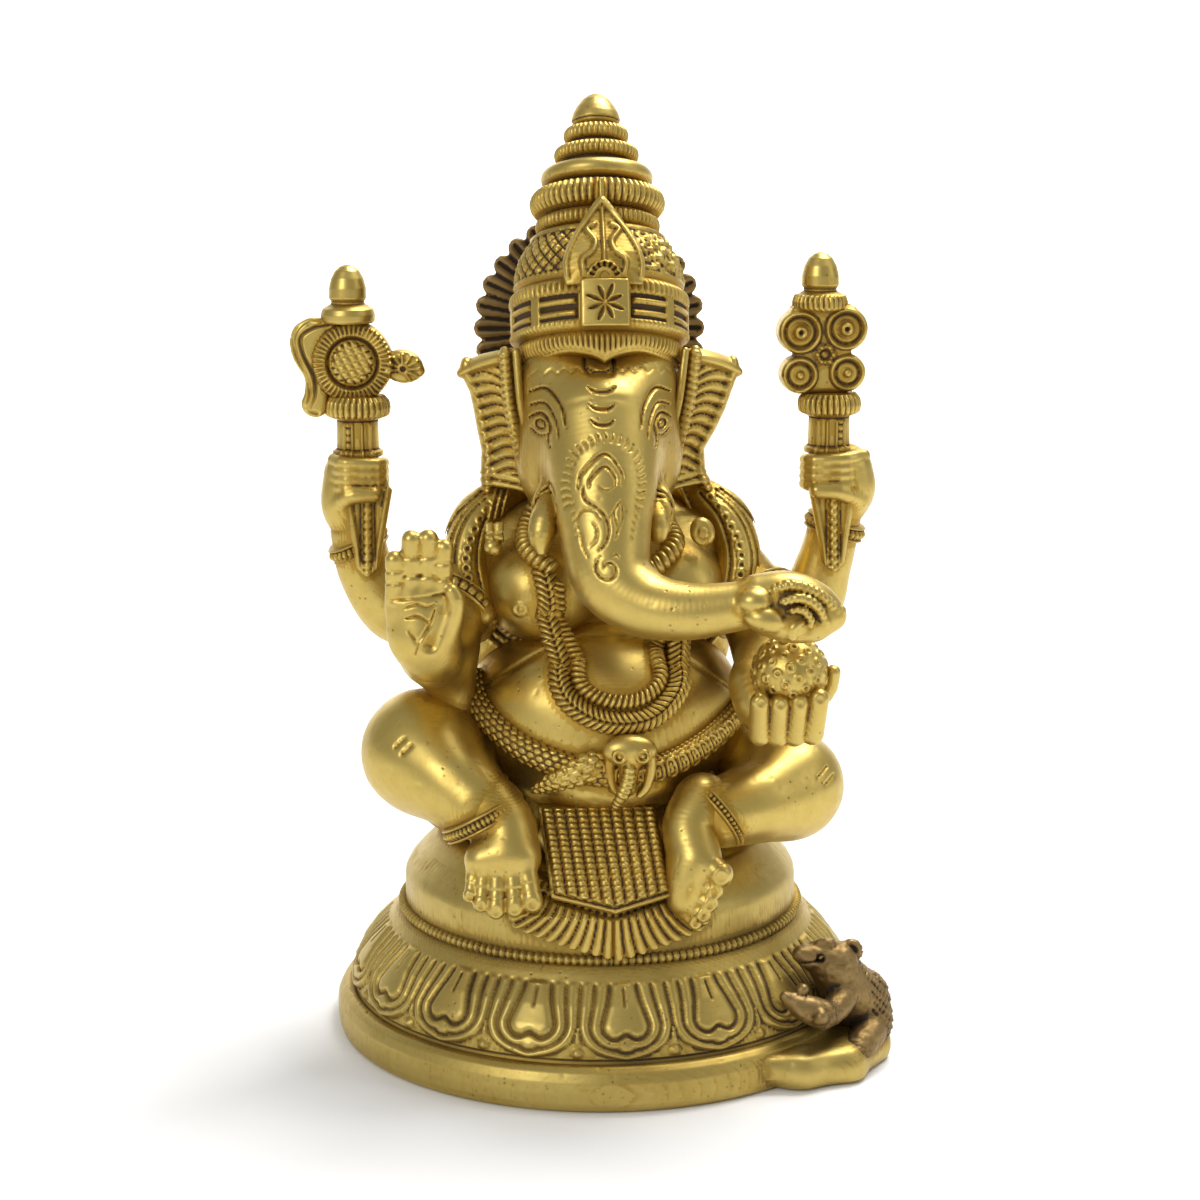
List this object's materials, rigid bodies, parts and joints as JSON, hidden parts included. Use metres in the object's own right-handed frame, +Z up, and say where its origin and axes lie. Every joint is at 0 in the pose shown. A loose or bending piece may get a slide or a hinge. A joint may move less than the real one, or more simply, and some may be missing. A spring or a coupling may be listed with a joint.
{
  "type": "hindu deity statue",
  "caption": "Seated four-armed elephant-headed figure in cast brass on a round lotus base, with a mouse at its foot.",
  "frame": {"origin": "centre of the round foot, on its underside", "axes": "+Z up through the crown, the figure faces -Y, +X towards the figure's own left side"},
  "size_m": [0.1108, 0.102, 0.1768],
  "materials": {
    "figure_brass": "polished brass with dark patina in the recesses",
    "base_brass": "satin brass with dark patina in the recesses",
    "aged_brass": "dull aged brass"
  },
  "bodies": {
    "root": {"plinth": "base_brass", "lotus_ring": "base_brass", "seat_drum": "base_brass", "drum_beading": "base_brass", "mouse_ledge": "base_brass", "mouse": "aged_brass", "mouse_sweet": "aged_brass", "hips": "figure_brass", "rug": "figure_brass", "rug_fringe": "figure_brass", "belly": "figure_brass", "chest": "figure_brass", "right_leg": "figure_brass", "left_leg": "figure_brass", "right_anklet": "figure_brass", "left_anklet": "figure_brass", "right_foot": "figure_brass", "left_foot": "figure_brass", "snake_belt": "figure_brass", "snake_hood": "figure_brass", "garland_outer": "figure_brass", "garland_inner": "figure_brass", "right_shawl": "figure_brass", "left_shawl": "figure_brass", "armlets": "figure_brass", "right_front_arm": "figure_brass", "blessing_hand": "figure_brass", "left_front_arm": "figure_brass", "sweet_hand": "figure_brass", "sweet": "figure_brass", "right_rear_arm": "figure_brass", "right_bracelet": "figure_brass", "right_scarf": "figure_brass", "right_rear_hand": "figure_brass", "disc_collar": "figure_brass", "disc_emblem": "figure_brass", "disc_finial": "figure_brass", "left_rear_arm": "figure_brass", "left_bracelet": "figure_brass", "left_scarf": "figure_brass", "left_rear_hand": "figure_brass", "roundel_collar": "figure_brass", "roundel_emblem": "figure_brass", "roundel_finial": "figure_brass", "head": "figure_brass", "trunk": "figure_brass", "right_tusk": "figure_brass", "left_tusk": "figure_brass", "right_ear": "figure_brass", "left_ear": "figure_brass", "ear_strips": "figure_brass", "crown_rim": "figure_brass", "crown_band": "figure_brass", "star_plate": "figure_brass", "crest_leaf": "figure_brass", "crown_dome": "figure_brass", "crown_tiers": "figure_brass", "crown_finial": "figure_brass", "halo": "aged_brass"}
  },
  "joints": []
}
